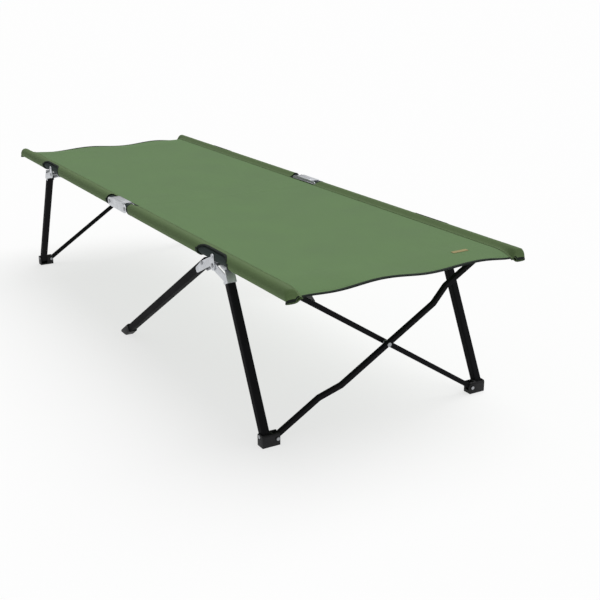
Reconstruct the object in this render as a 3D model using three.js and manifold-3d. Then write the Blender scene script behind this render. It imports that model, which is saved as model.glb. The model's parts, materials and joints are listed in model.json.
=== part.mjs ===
// Folding cot: two side rails in fabric sleeves, carried by four corner legs, two middle legs
// and a scissor of two braces at each end. Units are millimetres, +Z is up, +X points to the
// foot end, and the origin is on the floor under the middle of the cot.
// The cot is one half built twice: the head half is the foot half turned half a turn about Z.
import * as THREE from "three";
import { mergeVertices } from "three/addons/utils/BufferGeometryUtils.js";
import Module from "manifold-3d";

const wasm = await Module();
wasm.setup();

// ---------------------------------------------------------------- driving dimensions
const LENGTH = 1900;
const RAIL_Y = 304; // rail axis to the centre line of the cot
const RAIL_Z = 385;
const RAIL_R = 12;
const RAIL_WALL = 1.5;
const GAP = 0.3; // running clearance between touching pieces

const PLUG_CAP = 3; // thickness of the plug's cap, outside the rail's end
const PLUG_DEPTH = 30;

const SLEEVE_R = 15.5;
const SLEEVE_BORE = RAIL_R + 0.4;
const SLEEVE_END = 944; // the rail's plastic plug shows past it
const CUTOUT = [531.5, 686.5]; // stretch of bare rail round each leg hinge
const MIDDLE_CUTOUT = 77.5; // half length of the bare stretch at the middle hinge
const SEAM = [20, 26]; // stitched strip beside the sleeve, measured from the rail's axis
const SHEET_Z = [389, 391.4];

const LEG_PIVOT = new THREE.Vector2(611.3, 365);
const SADDLE_PIN = new THREE.Vector2(LEG_PIVOT.x, RAIL_Z); // fixes the saddle to the rail
const LEG_PIN = new THREE.Vector2(830, 23.5); // where the leg meets its shoe
const LEG_LEAN = THREE.MathUtils.degToRad(26.3); // from upright
const LEG_LENGTH = 366;
const LEG_SIDE = 20;
const LEG_CORNER = 3.5;
const TUBE_WALL = 1.2; // of the legs and the braces
const LEG_BELOW_PIN = 8;

const MIDDLE_PIVOT = new THREE.Vector2(552.5, 357);
const MIDDLE_LEAN = THREE.MathUtils.degToRad(32.2); // from level
const MIDDLE_ABOVE_PIVOT = 9;
const ARM_REACH = 34; // of the saddle's arm, along the middle leg past its pivot
const CAP_SOLE = 7; // height at which the middle leg's tube ends, inside its cap
const CAP_ABOVE = 54; // along the leg, above the point where its axis meets the floor
const CAP_BELOW = 11; // and below it, to the cap's rounded toe
const CAP_WALL = 2.2;
const CAP_TOE_R = 6.5;

const BRACE_TOP = new THREE.Vector2(861, 377);
const BRACE_FOOT = new THREE.Vector2(833.6, 17.5);
const BRACE_Y = 279; // its pins, to the centre line of the cot
const BRACE_SIDE = 12;
const BRACE_CORNER = 2;
const BRACE_END_R = 6.2; // its ends are rounded about their pins
const BRACE_SLOT = BRACE_SIDE / 2 + GAP; // half width of the slots that hold a brace's end
const JOGGLE = 18.5; // how far the outer brace steps round the inner one
const JOGGLE_RUN = [145, 201]; // where the step begins and ends, from the crossing

const SHOE_X = [821, 846];
const SHOE_Y = [-13.8, 31.5]; // from the rail's axis, inward positive
const SHOE_TOP = 30;
const SHOE_FLOOR = 5; // under the leg
const SHOE_EDGE = 6; // rounding of its upper corners
const SHOE_WALL = 2.8; // outward wall, in front of the leg

const BLOCK_R = 11.5; // barrel at the top of a brace
const BLOCK_END = 36; // from the rail's axis

const PLATE = 1.5; // sheet metal of the brackets
const LEG_PLATE = [LEG_SIDE / 2 + GAP, LEG_SIDE / 2 + GAP + PLATE]; // leg bracket's cheeks
const SADDLE_PLATE = [RAIL_R + GAP, RAIL_R + GAP + PLATE]; // cheeks that straddle the rail
const PIN_R = 3;
const HEAD_R = 5.5;
const HEAD_T = 1.6;
const SHOE_RIVET_REACH = 13.3; // clears the shoe's upright faces, as the rivet leans
const HINGE_RIVET_X = 58; // middle hinge, to the middle of the cot

const ROUND = 20; // facets round a rail or sleeve
const SMALL = 10; // facets round a pin, rivet or hole
const BEND = 12; // facets round the end of a plate
const CORNER = 2; // facets round a tube's corner

// ---------------------------------------------------------------- materials
const finish = (color, roughness, metalness) =>
  new THREE.MeshStandardMaterial({ color, roughness, metalness });
const looks = {
  frame: () => finish("#1d1e20", 0.45, 0.5),
  rail: () => finish("#2d3433", 0.5, 0.4),
  plastic: () => finish("#161718", 0.65, 0),
  steel: () => finish("#c9ced1", 0.35, 0.9),
  rivet: () => finish("#9a9ea1", 0.4, 0.9),
  canvas: () => finish("#66834f", 0.9, 0),
  sleeve: () => finish("#4c5a35", 0.9, 0),
};

// ---------------------------------------------------------------- solids
function solidOf(geometry) {
  const bare = geometry.index ? geometry.toNonIndexed() : geometry.clone();
  bare.deleteAttribute("normal");
  bare.deleteAttribute("uv");
  const merged = mergeVertices(bare, 1e-4);
  return new wasm.Manifold(
    new wasm.Mesh({
      numProp: 3,
      vertProperties: new Float32Array(merged.attributes.position.array),
      triVerts: new Uint32Array(merged.index.array),
    })
  );
}

function geometryOf(solid) {
  const mesh = solid.getMesh();
  const geometry = new THREE.BufferGeometry();
  geometry.setAttribute("position", new THREE.BufferAttribute(mesh.vertProperties, 3));
  geometry.setIndex(new THREE.BufferAttribute(mesh.triVerts, 1));
  geometry.computeVertexNormals();
  return geometry;
}

function joined(first, ...others) {
  return others.reduce((sum, next) => sum.add(solidOf(next)), solidOf(first));
}

function cut(solid, ...tools) {
  return tools.reduce((rest, tool) => rest.subtract(solidOf(tool)), solid);
}

function box(x, y, z) {
  return new THREE.BoxGeometry(x[1] - x[0], y[1] - y[0], z[1] - z[0]).translate(
    (x[0] + x[1]) / 2,
    (y[0] + y[1]) / 2,
    (z[0] + z[1]) / 2
  );
}

// a round bar along Y from y[0] to y[1], through the point at in the XZ plane
function barY(radius, y, at, segments = SMALL) {
  return new THREE.CylinderGeometry(radius, radius, y[1] - y[0], segments).translate(
    at.x,
    (y[0] + y[1]) / 2,
    at.y
  );
}

// a round bar along X, centred on X = 0, through Y = y and Z = z
function barX(radius, length, y = 0, z = 0) {
  return new THREE.CylinderGeometry(radius, radius, length, SMALL)
    .rotateZ(Math.PI / 2)
    .translate(0, y, z);
}

// a flat plate: an outline in the XZ plane, thick along Y from y[0] to y[1]
function plateY(outline, y) {
  return new THREE.ExtrudeGeometry(outline, {
    depth: y[1] - y[0],
    bevelEnabled: false,
    curveSegments: 6,
  })
    .rotateX(Math.PI / 2)
    .translate(0, y[1], 0);
}

// the outline round a row of discs {x, y, r}, as an elastic band would lie
function band(discs) {
  const points = [];
  for (const disc of discs) {
    for (let i = 0; i < BEND; i++) {
      const turn = (i / BEND) * 2 * Math.PI;
      points.push(
        new THREE.Vector2(disc.x + disc.r * Math.cos(turn), disc.y + disc.r * Math.sin(turn))
      );
    }
  }
  points.sort((a, b) => a.x - b.x || a.y - b.y);
  const side = (list) => {
    const chain = [];
    for (const p of list) {
      while (chain.length > 1) {
        const [a, b] = chain.slice(-2);
        if ((b.x - a.x) * (p.y - a.y) - (b.y - a.y) * (p.x - a.x) > 1e-6) break;
        chain.pop();
      }
      chain.push(p);
    }
    return chain.slice(0, -1);
  };
  return new THREE.Shape([...side(points), ...side([...points].reverse())]);
}

// a square with rounded corners, centred on the origin
function roundedSquare(side, radius, Kind = THREE.Shape) {
  const h = side / 2;
  const shape = new Kind();
  shape.moveTo(-h + radius, -h);
  shape.lineTo(h - radius, -h);
  shape.absarc(h - radius, -h + radius, radius, -Math.PI / 2, 0);
  shape.lineTo(h, h - radius);
  shape.absarc(h - radius, h - radius, radius, 0, Math.PI / 2);
  shape.lineTo(-h + radius, h);
  shape.absarc(-h + radius, h - radius, radius, Math.PI / 2, Math.PI);
  shape.lineTo(-h, -h + radius);
  shape.absarc(-h + radius, -h + radius, radius, Math.PI, 1.5 * Math.PI);
  return shape;
}

function squareTubeSection(side, radius, wall) {
  const section = roundedSquare(side, radius);
  section.holes.push(roundedSquare(side - 2 * wall, Math.max(radius - wall, 0.5), THREE.Path));
  return section;
}

// a square tube along +Z from z[0] to z[1]
function squareTube(side, radius, wall, z) {
  return new THREE.ExtrudeGeometry(squareTubeSection(side, radius, wall), {
    depth: z[1] - z[0],
    bevelEnabled: false,
    curveSegments: CORNER,
  }).translate(0, 0, z[0]);
}

// a round tube along X from x[0] to x[1], with its axis on Y = Z = 0
function roundTube(outer, inner, x, segments = ROUND) {
  const ring = [
    new THREE.Vector2(inner, 0),
    new THREE.Vector2(outer, 0),
    new THREE.Vector2(outer, x[1] - x[0]),
    new THREE.Vector2(inner, x[1] - x[0]),
    new THREE.Vector2(inner, 0),
  ];
  return new THREE.LatheGeometry(ring, segments)
    .rotateZ(-Math.PI / 2)
    .translate(x[0], 0, 0);
}

// a rivet along Y with a domed head at each end, heads just outside +-reach
function rivet(reach) {
  const end = reach + GAP + HEAD_T;
  const profile = [
    new THREE.Vector2(0, -end),
    new THREE.Vector2(HEAD_R * 0.6, -end),
    new THREE.Vector2(HEAD_R, -end + HEAD_T * 0.6),
    new THREE.Vector2(HEAD_R, -reach - GAP),
    new THREE.Vector2(PIN_R, -reach - GAP),
  ];
  const mirrored = profile.map((p) => new THREE.Vector2(p.x, -p.y)).reverse();
  return new THREE.LatheGeometry([...profile, ...mirrored], SMALL);
}

const at = (x, y) => new THREE.Vector2(x, y);

// make(y) for a plate's two faces on the +Y side, and again on the -Y side
function bothSides([inner, outer], make) {
  return [make([inner, outer]), make([-outer, -inner])].flat();
}

// ---------------------------------------------------------------- rails and sleeves
// Rail pieces are made with the rail's axis on Y = 0, and with the cot's centre towards +Y.
function railSolid() {
  const fromAxis = (point) => at(point.x, point.y - RAIL_Z);
  const ends = [HINGE_RIVET_X - RAIL_R, LENGTH / 2 - PLUG_CAP - GAP];
  const tube = solidOf(roundTube(RAIL_R, RAIL_R - RAIL_WALL, ends));
  const across = [-2 * RAIL_R, 2 * RAIL_R];
  return cut(
    tube,
    barY(PIN_R + GAP, across, at(HINGE_RIVET_X, 0)),
    barY(PIN_R + GAP, across, fromAxis(SADDLE_PIN)),
    barY(PIN_R, [0, 2 * RAIL_R], fromAxis(BRACE_TOP))
  );
}

function plugGeometry() {
  const inside = RAIL_R - RAIL_WALL - GAP;
  const end = LENGTH / 2;
  const [tip, collar, bevel] = [end - PLUG_DEPTH, end - PLUG_CAP, PLUG_CAP / 3];
  const profile = [at(0, tip), at(inside, tip), at(inside, collar), at(RAIL_R, collar)];
  profile.push(at(RAIL_R, end - bevel), at(RAIL_R - bevel, end), at(0, end));
  return new THREE.LatheGeometry(profile, ROUND).rotateZ(-Math.PI / 2);
}

function sleeveSolid() {
  const runs = [
    [MIDDLE_CUTOUT + 1, CUTOUT[0]],
    [CUTOUT[1], SLEEVE_END],
  ];
  const height = SHEET_Z.map((z) => z - RAIL_Z);
  const strip = box([runs[0][0], SLEEVE_END], SEAM, height);
  const bridges = runs.map((run) => box(run, [SLEEVE_BORE + 1, SEAM[0] + 1], height));
  const tubes = runs.map((run) => roundTube(SLEEVE_R, SLEEVE_BORE, run));
  const hole = barY(PIN_R, [0, 2 * SLEEVE_R], at(BRACE_TOP.x, BRACE_TOP.y - RAIL_Z));
  return cut(joined(strip, ...bridges, ...tubes), hole);
}

function sheetGeometry() {
  const edge = RAIL_Y - SEAM[1] - GAP;
  return box([GAP / 2, SLEEVE_END - 2], [-edge, edge], SHEET_Z);
}

// ---------------------------------------------------------------- middle hinge
// A channel over both rails' ends: two long cheeks, and a web on top that stops the rails level.
function middleBracketSolid() {
  const ends = [-1, 1].map((s) => ({ x: s * HINGE_RIVET_X, y: 0, r: RAIL_R }));
  const [inner, outer] = SADDLE_PLATE;
  const webX = [RAIL_R + 1 - HINGE_RIVET_X, HINGE_RIVET_X - RAIL_R - 1];
  const web = box(webX, [-outer, outer], [inner, outer]);
  const cheeks = bothSides(SADDLE_PLATE, (y) => plateY(band(ends), y));
  const tabs = bothSides(SADDLE_PLATE, (y) => box(webX, y, [0, inner + 1]));
  const holes = ends.map((end) => barY(PIN_R + GAP, [-2 * outer, 2 * outer], at(end.x, 0)));
  return cut(joined(web, ...cheeks, ...tabs), ...holes);
}

// ---------------------------------------------------------------- leg hinge and legs
// The saddle straddles the rail, pinned through it. The one with the middle leg has an arm.
function saddleSolid(withArm) {
  const disc = (centre, r, x = 0, y = 0) => ({ x: centre.x + x, y: centre.y + y, r });
  const lug = [disc(SADDLE_PIN, 8), disc(LEG_PIVOT, 12)];
  const alongLeg = at(-Math.cos(MIDDLE_LEAN), -Math.sin(MIDDLE_LEAN)).multiplyScalar(ARM_REACH);
  const arm = [
    disc(MIDDLE_PIVOT, 7.5, alongLeg.x + 3, alongLeg.y - 5),
    disc(MIDDLE_PIVOT, 9, 2.5, -4),
    disc(LEG_PIVOT, 10, -10, 8),
  ];
  const outlines = withArm ? [band(lug), band(arm)] : [band(lug)];
  const outer = SADDLE_PLATE[1];
  const cheeks = bothSides(SADDLE_PLATE, (y) => outlines.map((outline) => plateY(outline, y)));
  const crossPin = barY(PIN_R, [-outer - HEAD_T, outer + HEAD_T], SADDLE_PIN);
  const pivots = withArm ? [LEG_PIVOT, MIDDLE_PIVOT] : [LEG_PIVOT];
  const holes = pivots.map((pivot) => barY(PIN_R + GAP, [-2 * outer, 2 * outer], pivot));
  return cut(joined(crossPin, ...cheeks), ...holes);
}

// In the leg's own frame the tube runs up +Z from its pin, and +X is its outward side.
function legFramePoint(point) {
  const d = point.clone().sub(LEG_PIN);
  return at(
    d.x * Math.cos(LEG_LEAN) + d.y * Math.sin(LEG_LEAN),
    -d.x * Math.sin(LEG_LEAN) + d.y * Math.cos(LEG_LEAN)
  );
}

const legTubeGeometry = () =>
  squareTube(LEG_SIDE, LEG_CORNER, TUBE_WALL, [-LEG_BELOW_PIN, LEG_LENGTH]);

// A bent channel: its cheeks reach from the tube to the pivot, and its web is the outward stop.
function legBracketSolid() {
  const pivot = legFramePoint(LEG_PIVOT);
  const [low, high] = [LEG_LENGTH - 16, LEG_LENGTH + 15];
  const outer = LEG_PLATE[1];
  const neck = [
    { x: pivot.x, y: pivot.y, r: 10.5 },
    { x: 1, y: LEG_LENGTH - 2, r: 9.5 },
  ];
  const tongue = [
    { x: -6, y: low + 4, r: 4 },
    { x: outer - 1, y: low + 1, r: 1 },
    { x: outer - 1, y: high - 8, r: 1 },
  ];
  const outlines = [band(neck), band(tongue)];
  const cheeks = bothSides(LEG_PLATE, (y) => outlines.map((outline) => plateY(outline, y)));
  const web = box(LEG_PLATE, [-outer, outer], [low, high]);
  return cut(joined(web, ...cheeks), barY(PIN_R + GAP, [-2 * outer, 2 * outer], pivot));
}

// In the middle leg's own frame the tube runs down -Z from its pivot, and +X is its lower side.
const middleTilt = () => Math.PI / 2 - MIDDLE_LEAN;
const middleReach = () => MIDDLE_PIVOT.y / Math.sin(MIDDLE_LEAN);

// everything below a level plane at this height over the floor, in the middle leg's frame
function belowLevel(height) {
  const slab = box([-900, 200], [-100, 100], [-300, 0]);
  return slab.translate(0, 0, height - MIDDLE_PIVOT.y).rotateY(-middleTilt());
}

function middleLegSolid() {
  const ends = [-middleReach() - LEG_SIDE, MIDDLE_ABOVE_PIVOT];
  const tube = squareTube(LEG_SIDE, LEG_CORNER, TUBE_WALL, ends);
  const across = [-LEG_SIDE, LEG_SIDE];
  return cut(solidOf(tube), barY(PIN_R + GAP, across, at(0, 0)), belowLevel(CAP_SOLE));
}

// The middle leg's plastic cap has a rounded toe and is cut level, so that it stands on its sole.
function middleCapSolid() {
  const floor = -middleReach();
  const [toe, top] = [floor - CAP_BELOW, floor + CAP_ABOVE];
  const block = (side) =>
    new THREE.ExtrudeGeometry(roundedSquare(side, LEG_CORNER), {
      depth: top - toe,
      bevelEnabled: false,
      curveSegments: CORNER,
    }).translate(0, 0, toe);
  const boreSide = LEG_SIDE + 2 * GAP;
  const side = boreSide + 2 * CAP_WALL;
  const bore = cut(solidOf(block(boreSide).translate(0, 0, 1)), belowLevel(CAP_SOLE - GAP));
  const discs = [-1, 1].flatMap((s) => [
    { x: s * (side / 2 - CAP_TOE_R), y: toe + CAP_TOE_R, r: CAP_TOE_R },
    { x: s * (side / 2 - 1), y: top - 1, r: 1 },
  ]);
  const outline = solidOf(plateY(band(discs), [-side, side]));
  return cut(solidOf(block(side)).intersect(outline), belowLevel(0)).subtract(bore);
}

// ---------------------------------------------------------------- shoes
// Made beside the rail's axis on Y = 0, with the cot's centre towards +Y.
function shoeSolid() {
  const body = plateY(shoeSide(), SHOE_Y);
  const [inner] = LEG_PLATE;
  const pocket = box([0, SHOE_X[1] - SHOE_WALL], [-inner, inner], [SHOE_FLOOR, 2 * SHOE_TOP]);
  const pinY = RAIL_Y - BRACE_Y;
  const slot = box([-BRACE_SLOT, BRACE_SLOT], [pinY - 9, pinY + SHOE_TOP], [-9, 2 * SHOE_TOP]);
  const hole = barX(PIN_R + GAP, 2 * SHOE_TOP, pinY);
  for (const tool of [slot, hole]) {
    tool.rotateY(braceTilt()).translate(BRACE_FOOT.x, 0, BRACE_FOOT.y);
  }
  return cut(solidOf(body), pocket, slot, hole);
}

function shoeSide() {
  const [inner, outer] = SHOE_X;
  const shoulder = SHOE_TOP - SHOE_EDGE;
  const side = new THREE.Shape();
  side.moveTo(inner, 0);
  side.lineTo(outer, 0);
  side.lineTo(outer, shoulder);
  side.quadraticCurveTo(outer, SHOE_TOP, outer - SHOE_EDGE, SHOE_TOP);
  side.lineTo(inner + SHOE_EDGE, SHOE_TOP);
  side.quadraticCurveTo(inner, SHOE_TOP, inner, shoulder);
  return side;
}

// ---------------------------------------------------------------- scissor braces
// The scissor lies in a plane through both brace pins that leans slightly outward at the top.
// In its own frame X is its outward normal, Y is across the cot and -Z runs down the plane.
const braceSlope = () => BRACE_TOP.clone().sub(BRACE_FOOT);
const braceTilt = () => Math.atan2(braceSlope().x, braceSlope().y);
const bracePitch = () => Math.atan2(braceSlope().length(), 2 * BRACE_Y);
const braceReach = () => Math.hypot(braceSlope().length(), 2 * BRACE_Y) / 2;

// a brace along +Z, centred on the crossing, its outward side towards +X
function braceSolid(joggle) {
  const reach = braceReach();
  const far = reach + BRACE_SIDE;
  const [near, away] = JOGGLE_RUN;
  const stops = joggle
    ? [[0, -far], [0, -away], [joggle, -near], [joggle, near], [0, away], [0, far]]
    : [[0, -far], [0, far]];
  const tube = sweptTube(stops.map(([x, z]) => new THREE.Vector3(x, 0, z)));
  const ends = [-reach, reach].map((z) => ({ x: 0, y: z, r: BRACE_END_R }));
  const stadium = plateY(band(ends), [-2 * JOGGLE, 2 * JOGGLE]).rotateZ(Math.PI / 2);
  const holes = [-reach, 0, reach].map((z) => barX(PIN_R + GAP, 6 * JOGGLE, 0, z));
  return cut(tube.intersect(solidOf(stadium)), ...holes);
}

// the brace's square tube along straight runs in the XZ plane, mitred at each bend
function sweptTube(stops) {
  const rings = squareTubeSection(BRACE_SIDE, BRACE_CORNER, TUBE_WALL).extractPoints(CORNER);
  const outline = rings.shape;
  const hole = rings.holes[0];
  const frames = stops.map((point, i) => {
    const before = i ? point.clone().sub(stops[i - 1]).normalize() : null;
    const after = i < stops.length - 1 ? stops[i + 1].clone().sub(point).normalize() : null;
    const along = before && after ? before.clone().add(after).normalize() : before || after;
    const stretch = before && after ? 1 / before.dot(along) : 1;
    return { point, side: new THREE.Vector3(along.z, 0, -along.x).multiplyScalar(stretch) };
  });
  const place = (p, frame) =>
    frame.point.clone().addScaledVector(frame.side, p.x).add(new THREE.Vector3(0, p.y, 0));
  const skin = (ring) => {
    const positions = [];
    const index = [];
    for (const frame of frames) {
      for (const p of ring) positions.push(...place(p, frame).toArray());
    }
    const n = ring.length;
    for (let k = 0; k < frames.length - 1; k++) {
      for (let i = 0; i < n; i++) {
        const [a, b] = [k * n + i, k * n + ((i + 1) % n)];
        index.push(a, b, a + n, b, b + n, a + n);
      }
    }
    const cap = THREE.ShapeUtils.triangulateShape(ring, []);
    const last = (frames.length - 1) * n;
    for (const [a, b, c] of cap) index.push(c, b, a, last + a, last + b, last + c);
    const geometry = new THREE.BufferGeometry();
    geometry.setAttribute("position", new THREE.Float32BufferAttribute(positions, 3));
    geometry.setIndex(index);
    return solidOf(geometry);
  };
  const counter = (ring) => (THREE.ShapeUtils.isClockWise(ring) ? [...ring].reverse() : ring);
  return skin(counter(outline)).subtract(skin(counter(hole)));
}

// ---------------------------------------------------------------- scissor hardware
// a shaft along X made of steps {x, r}, each radius holding until the next step
function steppedShaft(steps) {
  const profile = [at(0, steps[0].x)];
  steps.forEach((step, i) => {
    profile.push(at(step.r, step.x));
    if (i < steps.length - 1) profile.push(at(step.r, steps[i + 1].x));
  });
  profile[profile.length - 1].x = 0;
  return new THREE.LatheGeometry(profile, SMALL).rotateZ(-Math.PI / 2);
}

function crossingRivetGeometry() {
  return steppedShaft([
    { x: -BRACE_SLOT - HEAD_T, r: HEAD_R },
    { x: -BRACE_SLOT, r: PIN_R },
    { x: BRACE_SLOT, r: HEAD_R },
    { x: JOGGLE - BRACE_SLOT, r: PIN_R },
    { x: JOGGLE + BRACE_SLOT, r: HEAD_R },
    { x: JOGGLE + BRACE_SLOT + HEAD_T, r: 0 },
  ]);
}

function shoeRivetGeometry() {
  return steppedShaft([
    { x: -SHOE_RIVET_REACH - HEAD_T, r: HEAD_R - 1 },
    { x: -SHOE_RIVET_REACH, r: PIN_R },
    { x: SHOE_RIVET_REACH, r: HEAD_R - 1 },
    { x: SHOE_RIVET_REACH + HEAD_T, r: 0 },
  ]);
}

// The block at the top of a brace: a barrel that tilts on a stub in the rail, slotted for the
// brace, with the brace's pin across the slot. Y is measured from the rail's axis.
function braceBlockSolid() {
  const pinY = RAIL_Y - BRACE_Y;
  const origin = at(0, 0);
  const barrel = barY(BLOCK_R, [SLEEVE_R + GAP, BLOCK_END], origin, ROUND);
  const stub = barY(PIN_R - GAP, [4, SLEEVE_R + 2], origin);
  const room = BRACE_END_R + GAP;
  const slot = box([-BRACE_SLOT, BRACE_SLOT], [pinY - room, 2 * BLOCK_END], [-60, room]);
  const pin = barX(PIN_R, 2 * BLOCK_R - 5, pinY);
  return cut(joined(barrel, stub), slot).add(solidOf(pin));
}

// ---------------------------------------------------------------- assembly
function flippedY(geometry) {
  const copy = geometry.clone().scale(1, -1, 1);
  const index = copy.index.array;
  for (let i = 0; i < index.length; i += 3) {
    [index[i], index[i + 1]] = [index[i + 1], index[i]];
  }
  return copy;
}

const shapes = {
  rail: geometryOf(railSolid()),
  sleeve: geometryOf(sleeveSolid()),
  plug: plugGeometry(),
  saddle: geometryOf(saddleSolid(false)),
  armedSaddle: geometryOf(saddleSolid(true)),
  leg: legTubeGeometry(),
  legBracket: geometryOf(legBracketSolid()),
  shoe: geometryOf(shoeSolid()),
  block: geometryOf(braceBlockSolid()),
  shoeRivet: shoeRivetGeometry(),
  hingeRivet: rivet(SADDLE_PLATE[1]),
  middleBracket: geometryOf(middleBracketSolid()),
  middleLeg: geometryOf(middleLegSolid()),
  middleCap: geometryOf(middleCapSolid()),
  straightBrace: geometryOf(braceSolid(0)),
  joggledBrace: geometryOf(braceSolid(JOGGLE)),
  crossingRivet: crossingRivetGeometry(),
  sheet: sheetGeometry(),
};

function frameAt(parent, x, y, z, turnY = 0) {
  const frame = new THREE.Group();
  frame.position.set(x, y, z);
  frame.rotation.y = turnY;
  parent.add(frame);
  return frame;
}

function add(frame, name, geometry, look) {
  const mesh = new THREE.Mesh(geometry, looks[look]());
  mesh.name = name;
  frame.add(mesh);
  return mesh;
}

// everything that hangs on one rail of one half; facing is the side of the cot it is on
function railSide(half, tag, facing, withMiddleLeg) {
  const y = facing * RAIL_Y;
  const handed = (geometry) => (facing < 0 ? geometry : flippedY(geometry));
  const rail = frameAt(half, 0, y, RAIL_Z);
  add(rail, `rail_${tag}`, handed(shapes.rail), "rail");
  add(rail, `rail_plug_${tag}`, shapes.plug, "plastic");
  add(rail, `sleeve_${tag}`, handed(shapes.sleeve), "sleeve");
  const floor = frameAt(half, 0, y, 0);
  add(floor, `leg_saddle_${tag}`, withMiddleLeg ? shapes.armedSaddle : shapes.saddle, "steel");
  add(floor, `shoe_${tag}`, handed(shapes.shoe), "plastic");
  const pivot = frameAt(half, LEG_PIVOT.x, y, LEG_PIVOT.y);
  add(pivot, `leg_rivet_${tag}`, shapes.hingeRivet, "rivet");
  const leg = frameAt(half, LEG_PIN.x, y, LEG_PIN.y, -LEG_LEAN);
  add(leg, `leg_${tag}`, shapes.leg, "frame");
  add(leg, `leg_bracket_${tag}`, shapes.legBracket, "steel");
  const top = frameAt(half, BRACE_TOP.x, y, BRACE_TOP.y, braceTilt());
  add(top, `brace_block_${tag}`, handed(shapes.block), "plastic");
  const bottom = frameAt(half, BRACE_FOOT.x, facing * BRACE_Y, BRACE_FOOT.y, braceTilt());
  add(bottom, `shoe_rivet_${tag}`, shapes.shoeRivet, "rivet");
}

// the middle leg and the middle hinge of one rail; the hinge joins it to the other half
function middleSupport(half, side, y) {
  const leg = frameAt(half, MIDDLE_PIVOT.x, y, MIDDLE_PIVOT.y, middleTilt());
  add(leg, `middle_leg_${side}`, shapes.middleLeg, "frame");
  add(leg, `middle_leg_cap_${side}`, shapes.middleCap, "plastic");
  add(leg, `middle_leg_rivet_${side}`, shapes.hingeRivet, "rivet");
  const hinge = frameAt(half, 0, y, RAIL_Z);
  add(hinge, `middle_bracket_${side}`, shapes.middleBracket, "steel");
  for (const [place, x] of [["outer", HINGE_RIVET_X], ["inner", -HINGE_RIVET_X]]) {
    const rivetFrame = frameAt(hinge, x, 0, 0);
    add(rivetFrame, `middle_rivet_${place}_${side}`, shapes.hingeRivet, "rivet");
  }
}

function scissor(half, end) {
  const centre = BRACE_TOP.clone().add(BRACE_FOOT).multiplyScalar(0.5);
  const plane = frameAt(half, centre.x, 0, centre.y, braceTilt());
  const lean = Math.PI / 2 - bracePitch();
  const straight = add(plane, `brace_straight_${end}`, shapes.straightBrace, "frame");
  straight.rotation.x = lean;
  const joggled = add(plane, `brace_joggled_${end}`, shapes.joggledBrace, "frame");
  joggled.rotation.x = -lean;
  add(plane, `crossing_rivet_${end}`, shapes.crossingRivet, "rivet");
}

function cotHalf(end, middleLegSide, otherSide) {
  const half = new THREE.Group();
  railSide(half, `${middleLegSide}_${end}`, -1, true);
  railSide(half, `${otherSide}_${end}`, 1, false);
  middleSupport(half, middleLegSide, -RAIL_Y);
  scissor(half, end);
  add(half, `sheet_${end}`, shapes.sheet, "canvas");
  return half;
}

const cot = new THREE.Group();
cot.add(cotHalf("foot_end", "right", "left"));
const headHalf = cotHalf("head_end", "left", "right");
headHalf.rotation.z = Math.PI;
cot.add(headHalf);

export default cot;
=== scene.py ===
"""The looks of a folding cot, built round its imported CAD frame: canvas bed, sewn side sleeves, bound
edges, stitching, rivet heads and finishes. Metres, +Z up, +X towards the foot end, +Y to the left."""
import json
import math

import bmesh
import bpy
from mathutils import Matrix, Vector, noise


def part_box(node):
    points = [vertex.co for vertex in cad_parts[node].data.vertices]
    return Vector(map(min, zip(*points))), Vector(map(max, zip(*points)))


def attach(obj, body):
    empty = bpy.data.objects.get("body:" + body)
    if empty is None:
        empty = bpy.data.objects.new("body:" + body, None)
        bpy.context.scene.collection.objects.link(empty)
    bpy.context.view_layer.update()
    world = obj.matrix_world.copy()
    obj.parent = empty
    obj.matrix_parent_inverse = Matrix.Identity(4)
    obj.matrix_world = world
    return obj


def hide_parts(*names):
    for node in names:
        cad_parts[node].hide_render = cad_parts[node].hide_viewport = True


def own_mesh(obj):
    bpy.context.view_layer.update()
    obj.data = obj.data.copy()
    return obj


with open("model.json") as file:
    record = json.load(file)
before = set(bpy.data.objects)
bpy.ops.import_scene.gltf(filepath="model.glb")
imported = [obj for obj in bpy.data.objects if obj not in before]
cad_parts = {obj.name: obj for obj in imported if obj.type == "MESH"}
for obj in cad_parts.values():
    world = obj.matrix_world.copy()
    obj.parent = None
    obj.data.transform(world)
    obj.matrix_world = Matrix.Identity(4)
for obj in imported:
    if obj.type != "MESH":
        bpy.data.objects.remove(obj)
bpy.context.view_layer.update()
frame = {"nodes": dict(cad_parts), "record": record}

# ------------------------------------------------------------------------------ sizes from the frame
SIDES = {"right": -1, "left": 1}
ENDS = {"foot_end": 1, "head_end": -1}

rail_low, rail_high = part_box("rail_left_foot_end")
sleeve_low, sleeve_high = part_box("sleeve_left_foot_end")
_, sheet_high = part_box("sheet_foot_end")
block_low, block_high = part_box("brace_block_left_foot_end")
hinge_low, hinge_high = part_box("middle_rivet_outer_right")

RAIL_Y = (rail_low.y + rail_high.y) / 2
RAIL_Z = (rail_low.z + rail_high.z) / 2
SLEEVE_R = (sleeve_high.z - sleeve_low.z) / 2
STRIP_WIDTH = 0.006
STRIP_IN = RAIL_Y - sleeve_low.y  # inner edge of the sewn strip, from the rail's axis
STRIP_OUT = STRIP_IN - STRIP_WIDTH
HINGE_X = (hinge_low.x + hinge_high.x) / 2
BLOCK_X = (block_low.x + block_high.x) / 2
BED_TOP = sheet_high.z
BED_END = rail_high.x + 0.003  # the hem hangs over the sleeves' ends
SLOT_OF = {s["node"]: s["material_slot"] for s in frame["record"]["subparts"]}

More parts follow.
